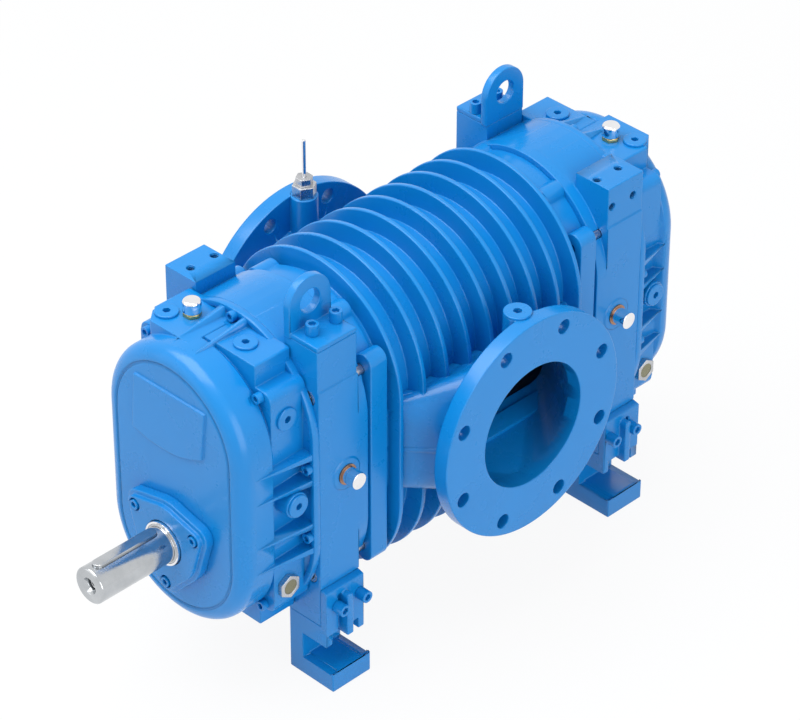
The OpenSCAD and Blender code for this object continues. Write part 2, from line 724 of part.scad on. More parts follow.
module foot() difference() {
  union() {
    along_y(block_in_y, plate_out) foot_profile(slab_under);
    along_y(block_in_y, plate_out) polygon([
      [block_side, slab_under], [upright_x, slab_under], [upright_x, block_under + upright_h - 3],
      [block_side, block_under + upright_h]
    ]);
    along_y(plate_out - cheek_t, plate_out) foot_profile(block_under - nose_h);
    along_y(plate_out - cheek_t, plate_out) translate([block_side, block_under - nose_h])
      square([upright_t - 1, nose_h]);
    along_y(block_in_y, block_in_y + inner_cheek_t) translate([pad_in, block_under - nose_h + 2])
      square([upright_x - pad_in, nose_h - 2]);
    along_x(block_side, upright_x + foot_rib_h) {
      translate([foot_rib_y, slab_under - 6])
        square([foot_rib_t, slot_up - slab_under + 6]);
      translate([foot_rib_y + foot_rib_t / 2, slot_up]) circle(foot_rib_t / 2);
    }
  }
  // Dead slot beside the rib, notch in the inner cheek and lowered strips along the pad's edges
  along_x(upright_x - 6, upright_x + past) {
    translate([foot_slot_y, slab_under - past]) square([foot_slot_w, slot_up - slab_under + past]);
    translate([foot_slot_y + foot_slot_w / 2, slot_up]) circle(foot_slot_w / 2);
  }
  translate([block_side - 10, block_in_y + inner_cheek_t - 7, block_under - nose_h])
    cube([upright_t + 10 + past, 7 + past, nose_h - slab_t]);
  for (y = [block_in_y - past, plate_out - cheek_t]) along_z(pad_t - pad_step, pad_t + past)
    translate([pad_in + web_t, y]) {
      square([pad_w - web_t - 8, cheek_t + past]);
      translate([pad_w - web_t - 8, cheek_t / 2 + past]) circle(cheek_t / 2);
    }
  for (y = hole_ys) facing_x([block_side - past, y, mid_z - block_mid_up])
    cylinder(d = block_hole_d + 1, h = upright_t + 2 * past);
  translate([pad_hole_x, pad_hole_y, -past]) cylinder(d = pad_hole_d - 2, h = pad_hole_depth + past);
}

module front_right_foot() color(paint) front_end() foot();
module front_left_foot() color(paint) front_end() mirror([1, 0, 0]) foot();
module rear_right_foot() color(paint) foot();
module rear_left_foot() color(paint) mirror([1, 0, 0]) foot();

module foot_screws() color(paint) both_ends() both_sides() for (y = hole_ys)
  facing_x([upright_x, y, mid_z - block_mid_up]) cap_screw(block_hole_d, upright_t + 20, block_head_h);

// Lifting eyes

module lifting_eye() {
  eye_y = (block_in_y + plate_out) / 2;
  z0 = mid_z + block_top;
  eye_x = plate_r - block_w;
  difference() {
    union() {
      translate([eye_x, block_in_y, z0]) cube([block_side - eye_x, plate_out - block_in_y, eye_leg_t]);
      along_x(eye_x, eye_x + eye_t) {
        translate([eye_y, z0 + eye_hole_up]) circle(eye_r);
        translate([eye_y - eye_r, z0]) square([2 * eye_r, eye_hole_up]);
      }
    }
    facing_x([eye_x - past, eye_y, z0 + eye_hole_up]) cylinder(d = eye_hole_d, h = eye_t + 2 * past);
    for (y = hole_ys) translate([block_mid_x, y, z0 - past])
      cylinder(d = block_hole_d + 1, h = eye_leg_t + 2 * past);
  }
}

module front_lifting_eye() color(paint) front_end() lifting_eye();
module rear_lifting_eye() color(paint) mirror([1, 0, 0]) lifting_eye();

module eye_screws() for (y = hole_ys) translate([block_mid_x, y, mid_z + block_top + eye_leg_t])
  cap_screw(block_hole_d, eye_leg_t + 18, block_head_h);

module lifting_eye_screws() color(paint) {
  front_end() eye_screws();
  mirror([1, 0, 0]) eye_screws();
}

// Screws and pins of the casings

module plate_screws() color(steel) both_ends() for (p = plate_screw_spots())
  facing_y([p[0], plate_out - plate_screw_d - 1, p[1]])
    cap_screw(plate_screw_d, plate_screw_l - 1, plate_screw_d);

module cover_screws() color(paint) both_ends() {
  for (p = flange_screws) facing_y([p[0], flange_out, mid_z + p[1]])
    cap_screw(cover_screw_d, cover_flange_t + cover_screw_grip - 2, cover_screw_d);
  for (p = boss_screws) facing_y([p[0], lump_out, mid_z + p[1]])
    cap_screw(cover_screw_d, lump_out - plate_out + cover_screw_grip - 2, cover_screw_d);
}

module seal_cover_screws() color(paint) front_end() for (a = seal_angles)
  translate(seal_screw_r * [cos(a), 0, sin(a)]) facing_y([0, seal_lobe_out - 1, drive_z])
    cap_screw(cover_screw_d, seal_lobe_out - front_out + 8, cover_screw_d);

module dowel_pins() color(steel) both_ends() for (p = dowel_spots())
  facing_y([p[0], plate_in - dowel_l / 2, p[1]]) cylinder(d = dowel_d, h = dowel_l - 1);

// Plugs, breathers, sight glasses and the sensor

breather_base_h = 7;
module breather_cap() translate([0, 0, breather_base_h]) difference() {
  rotate_extrude() polygon([[0, 0], [breather_d / 2, 0], [breather_d / 2, breather_h - 3],
    [breather_d / 2 - 2, breather_h], [0, breather_h]]);
  translate([0, 0, -past]) cylinder(d = breather_d - 8, h = 8);
}
module front_breather_cap() color(bright) front_end() at_plug(front_plugs[4]) breather_cap();
module rear_breather_cap() color(bright) at_plug(rear_plugs[3]) breather_cap();

module breather_base() {
  translate([0, 0, -plug_shank_l]) cylinder(d = plug_shank_d, h = plug_shank_l + 1);
  cylinder(d = breather_d, h = breather_base_h - 2, $fn = 6);
  cylinder(d = breather_d - 4, h = breather_base_h);
  cylinder(d = breather_d - 8 - 2 * seat_gap, h = breather_base_h + 6);
}
module breather_bases() color(brass) {
  front_end() at_plug(front_plugs[4]) breather_base();
  at_plug(rear_plugs[3]) breather_base();
}

module oil_plugs() color(paint) {
  front_end() for (i = [0 : 3])
    at_plug(front_plugs[i]) collar_plug(plug_collar_d, plug_shank_d, plug_shank_l);
  for (i = [0 : 2]) at_plug(rear_plugs[i]) collar_plug(plug_collar_d, plug_shank_d, plug_shank_l);
}

module neck_plug() color(paint) translate([neck_x - 35, 0, mid_z + neck_flange_d / 2])
  collar_plug(2 * neck_boss_r, neck_boss_bore - 2 * seat_gap, 16);

module sight_bezel() difference() {
  union() {
    cylinder(d = sight_af / cos(30), h = 8, $fn = 6);
    translate([0, 0, -plug_shank_l]) cylinder(d = plug_shank_d, h = plug_shank_l + 1);
  }
  translate([0, 0, 4]) cylinder(d = sight_af * 0.7, h = 10);
  translate([0, 0, -plug_shank_l - past]) cylinder(d = plug_shank_d - 6, h = 40);
}
module sight_glass_bezels() color(steel) {
  front_end() at_plug(front_plugs[5]) sight_bezel();
  at_plug(rear_plugs[4]) sight_bezel();
}
module sight_glass() translate([0, 0, 4]) cylinder(d = sight_af * 0.7 - 2 * seat_gap, h = 3);
module sight_glasses() color([0.62, 0.60, 0.25]) {
  front_end() at_plug(front_plugs[5]) sight_glass();
  at_plug(rear_plugs[4]) sight_glass();
}

plug_washer_t = 2;
module plate_plug() facing_x([plate_r + plug_pad_t + plug_washer_t, plug_pad_y, mid_z + plug_pad_up]) {
  cylinder(d = plate_plug_d, h = plate_plug_l - plug_washer_t);
  translate([0, 0, -18]) cylinder(d = plate_plug_d * 0.6, h = 19);
}
module plate_plugs() color(bright) both_ends() plate_plug();
module plate_plug_washers() color(copper) both_ends()
  facing_x([plate_r + plug_pad_t, plug_pad_y, mid_z + plug_pad_up])
    ring(plate_plug_d * 0.3 + seat_gap, plate_plug_d / 2 + 3, plug_washer_t);

sensor_z = mid_z + neck_flange_d / 2;
fitting_h = sensor_af / 2;
module sensor_fitting() color(steel) translate([35 - neck_x, 0, sensor_z]) difference() {
  union() {
    cylinder(d = sensor_af, h = fitting_h, $fn = 6);
    translate([0, 0, -20]) cylinder(d = neck_boss_bore - 2 * seat_gap, h = 21);
  }
  translate([0, 0, -20 - past]) cylinder(d = probe_d + 2 * seat_gap, h = 60);
}
module sensor_nut() color(steel) translate([35 - neck_x, 0, sensor_z + fitting_h]) difference() {
  cylinder(d = probe_d + 20, h = 12, $fn = 6);
  translate([0, 0, -past]) cylinder(d = probe_d + 2 * seat_gap, h = 20);
}
module sensor_probe() color(bright) translate([35 - neck_x, 0, sensor_z - probe_down])
  cylinder(d = probe_d, h = probe_down + probe_up);

// Bearings and seals that stay with the casings

module at_bearings(zs) both_ends() for (z = zs) facing_y([0, bearing_in, z]) children();
both_zs = [drive_z, driven_z];

module bearing_outer_rings() color(steel) at_bearings(both_zs) rotate_extrude() difference() {
  translate([outer_race_r - 2.5, 0]) square([bearing_od / 2 - seat_gap - outer_race_r + 2.5, bearing_w]);
  translate([outer_race_r - 5, bearing_w / 2 - roller_l / 2 - 0.5]) square([5, roller_l + 1]);
}

module bearing_retainers() color(iron) both_ends() for (z = both_zs) difference() {
  union() {
    facing_y([0, bearing_out, z]) cylinder(r = bearing_od / 2 - 0.1, h = plate_out - bearing_out);
    along_y(plate_out, plate_out + retainer_t) intersection() {
      translate([0, z]) circle(retainer_r);
      translate([-retainer_r, z > mid_z ? mid_z + 0.5 : mid_z - 0.5 - 3 * retainer_r])
        square([2 * retainer_r, 3 * retainer_r]);
    }
  }
  facing_y([0, bearing_out - past, z]) cylinder(r = retainer_bore_r, h = 40);
  for (a = [45 : 90 : 315]) facing_y([0, plate_out - past, z] + retainer_screw_r * [cos(a), 0, sin(a)])
    cylinder(d = retainer_screw_d + 0.5, h = retainer_t + 2 * past);
}

module retainer_screws() color(steel) both_ends() for (z = both_zs, a = [45 : 90 : 315])
  facing_y([0, plate_out + retainer_t, z] + retainer_screw_r * [cos(a), 0, sin(a)])
    cap_screw(retainer_screw_d, retainer_t + 12, retainer_screw_d);

module rotor_seal_bushes() color(brass) both_ends() for (z = both_zs) turned(z) difference() {
  translate([bush_seat_d / 2 + 0.3, plate_in + 1])
    square([bush_r - seat_gap - bush_seat_d / 2 - 0.3, bearing_in - plate_in - 2]);
  for (y = [plate_in + 9 : 8 : bearing_in - 8]) translate([bush_seat_d / 2, y]) square([3, 3]);
}

module shaft_lip_seal() color(rubber) front_end() turned(drive_z) difference() {
  translate([nut_seat_d / 2 + sleeve_wall + 0.05, front_out + 4])
    square([lip_seal_r - seat_gap - nut_seat_d / 2 - sleeve_wall - 0.05, 12]);
  translate([nut_seat_d / 2 + sleeve_wall + 3, front_out + 3]) square([6, 9]);
}

// Rotating parts

// Points of a rotor's outline: outer arcs roll outside the pitch circle, inner arcs inside it
function unit(a) = [cos(a), sin(a)];
function away(p, c) = (p - c) / norm(p - c);
function outer_arc(a) = let (
  c = pitch_r * unit(a), p = (pitch_r + roll_r) * unit(a) - roll_r * unit(7 * a)
) p - lobe_gap * away(p, c);
function inner_arc(a) = let (
  c = pitch_r * unit(a), p = (pitch_r - roll_r) * unit(a) + roll_r * unit(-5 * a)
) p + lobe_gap * away(p, c);
function turn(p, a) = [p[0] * cos(a) - p[1] * sin(a), p[0] * sin(a) + p[1] * cos(a)];
arc_steps = 24;
rotor_points = [for (lobe = [0 : 2], i = [0 : 2 * arc_steps - 1])
  let (a = 60 * ((i % arc_steps) + 0.5) / arc_steps, start = 60 + 120 * lobe)
  i < arc_steps ? turn(outer_arc(a), start) : turn(inner_arc(a), start + 60)];

module lobe_rotor(z) color(iron) along_y(rotor_end_gap - plate_in, plate_in - rotor_end_gap)
  translate([0, z]) difference() {
    polygon(rotor_points);
    circle(d = rotor_seat_d + 2 * seat_gap);
    for (a = [90, 210, 330]) rotate(a) translate([core_hole_at, 0]) circle(d = core_hole_d);
  }
module drive_lobe_rotor() lobe_rotor(drive_z);
module driven_lobe_rotor() lobe_rotor(driven_z);

// Involute gear outline, with a tooth or a gap centred at the angle given
gear_module = axis_gap / gear_teeth;
base_r = pitch_r * cos(pressure_angle);
function involute(a) = tan(a) * 180 / PI - a;
tooth_half = 90 / gear_teeth - backlash / 2 / pitch_r * 180 / PI / 2;
function tooth_angle(r) = tooth_half + involute(pressure_angle) - involute(acos(base_r / r));
gear_tip_r = pitch_r + gear_module;
gear_root_r = pitch_r - 1.25 * gear_module;
flank_steps = 4;
flank_rs = [for (i = [0 : flank_steps]) base_r + (gear_tip_r - base_r) * i / flank_steps];
function tooth_points(at) = concat(
  [gear_root_r * unit(at - tooth_angle(base_r) - 0.3)],
  [for (i = [0 : flank_steps]) flank_rs[i] * unit(at - tooth_angle(flank_rs[i]))],
  [for (i = [flank_steps : -1 : 0]) flank_rs[i] * unit(at + tooth_angle(flank_rs[i]))],
  [gear_root_r * unit(at + tooth_angle(base_r) + 0.3)]
);

module timing_gear(z, first) color(steel) difference() {
  union() {
    along_y(gear_in, gear_out) translate([0, z])
      polygon([for (k = [0 : gear_teeth - 1]) each tooth_points(first + k * 360 / gear_teeth)]);
    facing_y([0, bearing_out, z]) cylinder(r = nut_r + 2, h = gear_in - bearing_out);
  }
  facing_y([0, bearing_out - past, z]) cylinder(d = nut_seat_d + 2 * seat_gap, h = 200);
  for (a = [0 : 60 : 300]) facing_y([0, gear_in - past, z] + 57 * [cos(a), 0, sin(a)])
    cylinder(d = 18, h = gear_w + 2 * past);
}
module drive_timing_gear() timing_gear(drive_z, 90);
module driven_timing_gear() timing_gear(driven_z, 270 + 180 / gear_teeth);

module lock_nut(z, y) color(iron) facing_y([0, y, z]) difference() {
  ring(nut_seat_d / 2 + seat_gap, nut_r, nut_t);
  for (a = [0 : 90 : 270]) rotate([0, 0, a])
    translate([nut_r - 4, -4, -past]) cube([10, 8, nut_t + 2 * past]);
}
module drive_gear_nut() lock_nut(drive_z, gear_out);
module driven_gear_nut() lock_nut(driven_z, gear_out);
module drive_front_nut() front_end() lock_nut(drive_z, bearing_out);
module driven_front_nut() front_end() lock_nut(driven_z, bearing_out);

// Half of a shaft from its middle out, as radius and Y: end steps first, then bearing and bush seats
function shaft_steps(last_r, last_y) = [
  [last_r, last_y], [last_r, bearing_out], [bearing_d / 2, bearing_out], [bearing_d / 2, bearing_in],
  [bush_seat_d / 2, bearing_in], [bush_seat_d / 2, plate_in], [rotor_seat_d / 2, plate_in]
];
module half_shaft(z, steps, last_y) turned(z)
  polygon(concat(steps, [[rotor_seat_d / 2, 0], [0, 0], [0, last_y]]));

module drive_shaft() color(steel) difference() {
  union() {
    half_shaft(drive_z, shaft_steps(nut_seat_d / 2, rear_shaft_end), rear_shaft_end);
    front_end() half_shaft(drive_z, concat(
      [[shaft_end_d / 2 - 2, shaft_tip], [shaft_end_d / 2, shaft_tip - 2], [shaft_end_d / 2, sleeve_out],
       [nut_seat_d / 2, sleeve_out]],
      shaft_steps(nut_seat_d / 2, bearing_out)), shaft_tip);
  }
  front_end() {
    turned(drive_z) polygon([[0, shaft_tip - 45], [8, shaft_tip - 40], [8, shaft_tip - 8],
      [13, shaft_tip], [13, shaft_tip + past], [0, shaft_tip + past]]);
    key_slot(key_w + 2 * seat_gap, key_l + 2 * seat_gap, 0, 60);
  }
}

key_in = 10;
key_z = drive_z + shaft_end_d / 2 - 0.6 * key_h;
module key_slot(w, l, low, h) translate([0, shaft_tip - key_in - key_l / 2, key_z + low])
  linear_extrude(h) {
  square([w, l - w], center = true);
  for (s = [-1, 1]) translate([0, s * (l - w) / 2]) circle(d = w);
}
module drive_key() color(bright) front_end() key_slot(key_w, key_l, 0, key_h);

module driven_shaft() color(steel) {
  half_shaft(driven_z, shaft_steps(nut_seat_d / 2, rear_shaft_end), rear_shaft_end);
  front_end()
    half_shaft(driven_z, shaft_steps(nut_seat_d / 2, front_shaft_end), front_shaft_end);
}

module seal_sleeve() color(bright) front_end() facing_y([0, slinger_out, drive_z])
  ring(nut_seat_d / 2 + seat_gap, nut_seat_d / 2 + sleeve_wall, sleeve_out - slinger_out);

module oil_slinger() color(steel) front_end() difference() {
  turned(drive_z) polygon([[0, bearing_out + nut_t], [nut_r - 2, bearing_out + nut_t],
    [nut_r - 2, slinger_out - 6], [cavity_r - 12, slinger_out - 6], [cavity_r - 12, slinger_out],
    [0, slinger_out]]);
  facing_y([0, bearing_out, drive_z]) cylinder(d = nut_seat_d + 2 * seat_gap, h = 100);
}

module inner_rings(z) color(steel) at_bearings([z]) ring(bearing_d / 2 + seat_gap, inner_race_r, bearing_w);
module drive_bearing_inner_rings() inner_rings(drive_z);
module driven_bearing_inner_rings() inner_rings(driven_z);

module rollers(z) color(bright) at_bearings([z]) for (k = [0 : roller_count - 1])
  rotate([0, 0, k * 360 / roller_count]) translate([roller_at, 0, (bearing_w - roller_l) / 2])
    cylinder(d = roller_d, h = roller_l);
module drive_bearing_rollers() rollers(drive_z);
module driven_bearing_rollers() rollers(driven_z);

module cages(z) color(brass) at_bearings([z]) difference() {
  translate([0, 0, 2]) ring(roller_at - 4.5, roller_at + 4.5, bearing_w - 4);
  for (k = [0 : roller_count - 1]) rotate([0, 0, k * 360 / roller_count])
    translate([roller_at, 0, (bearing_w - roller_l) / 2 - 0.2])
      cylinder(d = roller_d + 0.3, h = roller_l + 0.4);
}
module drive_bearing_cages() cages(drive_z);
module driven_bearing_cages() cages(driven_z);

main_casing();
front_side_plate();
rear_side_plate();
front_cover();
rear_cover();
seal_cover();
front_right_foot();
front_left_foot();
rear_right_foot();
rear_left_foot();
foot_screws();
front_lifting_eye();
rear_lifting_eye();
lifting_eye_screws();
plate_screws();
cover_screws();
seal_cover_screws();
dowel_pins();
front_breather_cap();
rear_breather_cap();
breather_bases();
oil_plugs();
neck_plug();
sight_glass_bezels();
sight_glasses();
plate_plugs();
plate_plug_washers();
sensor_fitting();
sensor_nut();
sensor_probe();
bearing_outer_rings();
bearing_retainers();
retainer_screws();
rotor_seal_bushes();
shaft_lip_seal();
drive_shaft();
drive_lobe_rotor();
drive_timing_gear();
drive_gear_nut();
drive_bearing_inner_rings();
drive_front_nut();
drive_key();
seal_sleeve();
oil_slinger();
driven_shaft();
driven_lobe_rotor();
driven_timing_gear();
driven_gear_nut();
driven_bearing_inner_rings();
driven_front_nut();
drive_bearing_rollers();
drive_bearing_cages();
driven_bearing_rollers();
driven_bearing_cages();
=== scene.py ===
import json
import math

import bmesh
import bpy
from mathutils import Matrix, Vector

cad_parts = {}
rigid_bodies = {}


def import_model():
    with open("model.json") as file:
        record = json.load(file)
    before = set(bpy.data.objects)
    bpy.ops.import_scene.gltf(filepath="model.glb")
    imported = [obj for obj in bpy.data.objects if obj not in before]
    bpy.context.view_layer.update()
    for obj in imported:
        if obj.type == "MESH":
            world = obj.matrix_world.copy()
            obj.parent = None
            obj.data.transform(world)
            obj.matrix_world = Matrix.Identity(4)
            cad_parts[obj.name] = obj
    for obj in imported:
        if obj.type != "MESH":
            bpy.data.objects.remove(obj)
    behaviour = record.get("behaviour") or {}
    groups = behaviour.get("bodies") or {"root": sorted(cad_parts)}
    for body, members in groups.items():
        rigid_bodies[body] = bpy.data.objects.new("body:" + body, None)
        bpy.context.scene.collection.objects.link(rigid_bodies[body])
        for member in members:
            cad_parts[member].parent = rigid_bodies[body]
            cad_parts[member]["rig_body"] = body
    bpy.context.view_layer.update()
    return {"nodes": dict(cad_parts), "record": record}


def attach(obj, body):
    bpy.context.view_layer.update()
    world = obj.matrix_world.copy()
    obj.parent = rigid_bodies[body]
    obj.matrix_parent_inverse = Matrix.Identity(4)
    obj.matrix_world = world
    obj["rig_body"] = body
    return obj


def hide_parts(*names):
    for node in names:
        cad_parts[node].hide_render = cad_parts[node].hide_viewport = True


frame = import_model()
nodes = frame["nodes"]
print("frame loaded:", len(nodes), "nodes")


# Shader helpers

def newGroup(name, inputs, outputs):
    group = bpy.data.node_groups.new(name, "ShaderNodeTree")
    for label, kind, default in inputs:
        socket = group.interface.new_socket(name=label, in_out="INPUT", socket_type=kind)
        if default is not None:
            socket.default_value = default
    for label, kind in outputs:
        group.interface.new_socket(name=label, in_out="OUTPUT", socket_type=kind)
    return group, group.nodes.new("NodeGroupInput"), group.nodes.new("NodeGroupOutput")


def addNode(tree, kind, **values):
    node = tree.nodes.new(kind)
    for key, value in values.items():
        setattr(node, key, value)
    return node


def mathNode(tree, operation, first, second=None, clamp=False):
    node = addNode(tree, "ShaderNodeMath", operation=operation, use_clamp=clamp)
    for slot, value in enumerate((first, second)):
        if value is None:
            continue
        if isinstance(value, (int, float)):
            node.inputs[slot].default_value = value
        else:
            tree.links.new(value, node.inputs[slot])
    return node.outputs[0]


def noiseAt(tree, vector, scale, detail=3.0, roughness=0.55):
    noise = addNode(tree, "ShaderNodeTexNoise")
    noise.inputs["Detail"].default_value = detail
    noise.inputs["Roughness"].default_value = roughness
    if isinstance(scale, (int, float)):
        noise.inputs["Scale"].default_value = scale
    else:
        tree.links.new(scale, noise.inputs["Scale"])
    tree.links.new(vector, noise.inputs["Vector"])
    return noise.outputs["Fac"]


def remap(tree, value, fromLow, fromHigh, toLow, toHigh):
    node = addNode(tree, "ShaderNodeMapRange")
    for slot, number in zip((1, 2, 3, 4), (fromLow, fromHigh, toLow, toHigh)):
        node.inputs[slot].default_value = number
    tree.links.new(value, node.inputs[0])
    return node.outputs[0]


# Shared effects

def makeSoftEdge():
    # Rounds an edge in the shading and gives a mask that is 1 along sharp edges
    group, gin, gout = newGroup(
        "softEdge",
        [("Radius", "NodeSocketFloat", 0.002)],
        [("Normal", "NodeSocketVector"), ("Edge", "NodeSocketFloat")],
    )
    bevel = addNode(group, "ShaderNodeBevel", samples=6)
    group.links.new(gin.outputs["Radius"], bevel.inputs["Radius"])
    geometry = addNode(group, "ShaderNodeNewGeometry")
    dot = addNode(group, "ShaderNodeVectorMath", operation="DOT_PRODUCT")
    group.links.new(bevel.outputs["Normal"], dot.inputs[0])
    group.links.new(geometry.outputs["Normal"], dot.inputs[1])
    edge = remap(group, dot.outputs["Value"], 0.985, 0.80, 0.0, 1.0)
    group.links.new(bevel.outputs["Normal"], gout.inputs["Normal"])
    group.links.new(edge, gout.inputs["Edge"])
    return group


castSkin = {"grainShare": 0.25, "swellShare": 0.9, "patchScale": 9.0}


def makeCastGrain():
    # Sand-cast skin under paint: a slow swell, a fine grain and a patchy tone
    group, gin, gout = newGroup(
        "castGrain",
        [("Grain scale", "NodeSocketFloat", 900.0), ("Swell scale", "NodeSocketFloat", 28.0)],
        [("Height", "NodeSocketFloat"), ("Tone", "NodeSocketFloat")],
    )
    place = addNode(group, "ShaderNodeTexCoord").outputs["Object"]
    grain = noiseAt(group, place, gin.outputs["Grain scale"], detail=2.0)
    swell = noiseAt(group, place, gin.outputs["Swell scale"], detail=2.0, roughness=0.4)
    height = mathNode(group, "ADD", mathNode(group, "MULTIPLY", grain, castSkin["grainShare"]),
                      mathNode(group, "MULTIPLY", swell, castSkin["swellShare"]))
    patches = noiseAt(group, place, castSkin["patchScale"], detail=5.0, roughness=0.6)
    tone = remap(group, patches, 0.3, 0.7, 0.0, 1.0)
    group.links.new(height, gout.inputs["Height"])
    group.links.new(tone, gout.inputs["Tone"])
    return group


def makeDust():
    # Fine dust that settles on what faces up
    group, gin, gout = newGroup(
        "dust",
        [("Amount", "NodeSocketFloat", 0.2)],
        [("Mask", "NodeSocketFloat")],
    )
    geometry = addNode(group, "ShaderNodeNewGeometry")
    up = addNode(group, "ShaderNodeSeparateXYZ")
    group.links.new(geometry.outputs["Normal"], up.inputs[0])
    facingUp = remap(group, up.outputs["Z"], 0.5, 1.0, 0.0, 1.0)
    place = addNode(group, "ShaderNodeTexCoord").outputs["Object"]
    patches = remap(group, noiseAt(group, place, 16.0, detail=6.0, roughness=0.7), 0.42, 0.75, 0.0, 1.0)
    lying = mathNode(group, "MULTIPLY", facingUp, patches)
    mask = mathNode(group, "MULTIPLY", lying, gin.outputs["Amount"])
    group.links.new(mask, gout.inputs["Mask"])
    return group


def makeTurnedGrain():
    # Fine lines left by a lathe: they change along the axis and run round it
    group, gin, gout = newGroup(
        "turnedGrain",
        [("Stretch", "NodeSocketVector", (30.0, 2400.0, 30.0))],
        [("Height", "NodeSocketFloat"), ("Tone", "NodeSocketFloat")],
    )
    place = addNode(group, "ShaderNodeTexCoord").outputs["Object"]
    scaled = addNode(group, "ShaderNodeVectorMath", operation="MULTIPLY")
    group.links.new(place, scaled.inputs[0])
    group.links.new(gin.outputs["Stretch"], scaled.inputs[1])
    lines = noiseAt(group, scaled.outputs[0], 1.0, detail=3.0)
    blotches = remap(group, noiseAt(group, place, 40.0, detail=4.0), 0.3, 0.7, 0.0, 1.0)
    group.links.new(lines, gout.inputs["Height"])
    group.links.new(blotches, gout.inputs["Tone"])
    return group


softEdge = makeSoftEdge()
castGrain = makeCastGrain()
dust = makeDust()
turnedGrain = makeTurnedGrain()
print("shared effects built")


# Materials

def placeGroup(tree, group, **values):
    node = addNode(tree, "ShaderNodeGroup", node_tree=group)
    for label, value in values.items():
        node.inputs[label.replace("_", " ")].default_value = value
    return node


def newMaterial(name):
    material = bpy.data.materials.new(name)
    material.use_nodes = True
    return material, material.node_tree, material.node_tree.nodes["Principled BSDF"]


def mixColour(tree, factor, first, second, blend="MIX"):
    mix = addNode(tree, "ShaderNodeMix", data_type="RGBA", blend_type=blend)
    for slot, value in ((6, first), (7, second)):
        if isinstance(value, tuple):
            mix.inputs[slot].default_value = (*value, 1.0)
        else:
            tree.links.new(value, mix.inputs[slot])
    if isinstance(factor, (int, float)):
        mix.inputs[0].default_value = factor
    else:
        tree.links.new(factor, mix.inputs[0])
    return mix.outputs[2]


def bumpFrom(tree, height, distance, strength, normal=None):
    bump = addNode(tree, "ShaderNodeBump")
    bump.inputs["Distance"].default_value = distance
    bump.inputs["Strength"].default_value = strength
    tree.links.new(height, bump.inputs["Height"])
    if normal is not None:
        tree.links.new(normal, bump.inputs["Normal"])
    return bump.outputs["Normal"]


# The edge colour is a painted highlight: a lighter blue laid along sharp edges where light would catch
# them
paintLook = {
    "deep": (0.001, 0.172, 0.480),
    "body": (0.002, 0.205, 0.560),
    "edge": (0.035, 0.300, 0.700),
    "dustTone": (0.16, 0.32, 0.50),
    "roughness": (0.24, 0.33),
    "evenShare": 0.62, "patchShare": 0.3, "edgeHighlightShare": 0.35,
    "specular": 0.38, "coat": 0.12, "coatRoughness": 0.10,
    "bumpDepth": 0.00025, "bumpStrength": 0.2,
}


def makeBluePaint(name, edgeRadius, swell, dustAmount):
    material, tree, shader = newMaterial(name)
    edges = placeGroup(tree, softEdge, Radius=edgeRadius)
    grain = placeGroup(tree, castGrain, Swell_scale=swell)
    settled = placeGroup(tree, dust, Amount=dustAmount)
    colour = mixColour(tree, grain.outputs["Tone"], paintLook["deep"], paintLook["body"])
    patches = mathNode(tree, "MULTIPLY", grain.outputs["Tone"], paintLook["patchShare"])
    even = mathNode(tree, "ADD", paintLook["evenShare"], patches)
    colour = mixColour(tree, even, colour, paintLook["body"])
    # Painted highlight: the edge mask mixes a lighter blue into the paint along sharp edges
    paintedEdgeHighlight = mathNode(tree, "MULTIPLY", edges.outputs["Edge"], paintLook["edgeHighlightShare"])
    colour = mixColour(tree, paintedEdgeHighlight, colour, paintLook["edge"])
    colour = mixColour(tree, settled.outputs["Mask"], colour, paintLook["dustTone"])
    tree.links.new(colour, shader.inputs["Base Color"])
    low, high = paintLook["roughness"]
    tree.links.new(remap(tree, grain.outputs["Tone"], 0.0, 1.0, low, high), shader.inputs["Roughness"])
    shader.inputs["Specular IOR Level"].default_value = paintLook["specular"]
    shader.inputs["Coat Weight"].default_value = paintLook["coat"]
    shader.inputs["Coat Roughness"].default_value = paintLook["coatRoughness"]
    normal = bumpFrom(tree, grain.outputs["Height"], paintLook["bumpDepth"], paintLook["bumpStrength"],
                      edges.outputs["Normal"])
    tree.links.new(normal, shader.inputs["Normal"])
    return material


steelLook = {"tone": (0.60, 0.61, 0.63), "dark": (0.42, 0.43, 0.45), "roughness": (0.20, 0.34)}


def makeTurnedSteel(name, stretch, edgeRadius, tone, dark, roughness):
    material, tree, shader = newMaterial(name)
    edges = placeGroup(tree, softEdge, Radius=edgeRadius)
    lines = placeGroup(tree, turnedGrain, Stretch=stretch)
    colour = mixColour(tree, lines.outputs["Tone"], dark, tone)
    tree.links.new(colour, shader.inputs["Base Color"])
    shader.inputs["Metallic"].default_value = 1.0
    rough = remap(tree, lines.outputs["Height"], 0.3, 0.7, *roughness)
    tree.links.new(rough, shader.inputs["Roughness"])
    normal = bumpFrom(tree, lines.outputs["Height"], 0.00004, 0.5, edges.outputs["Normal"])
    tree.links.new(normal, shader.inputs["Normal"])
    return material


def makeRubber(name):
    material, tree, shader = newMaterial(name)
    grain = placeGroup(tree, castGrain, Grain_scale=1600.0, Swell_scale=90.0)
    tree.links.new(mixColour(tree, grain.outputs["Tone"], (0.010, 0.010, 0.011), (0.028, 0.028, 0.030)),
                   shader.inputs["Base Color"])
    tree.links.new(remap(tree, grain.outputs["Tone"], 0.0, 1.0, 0.45, 0.62), shader.inputs["Roughness"])
    tree.links.new(bumpFrom(tree, grain.outputs["Height"], 0.0002, 0.4), shader.inputs["Normal"])
    return material


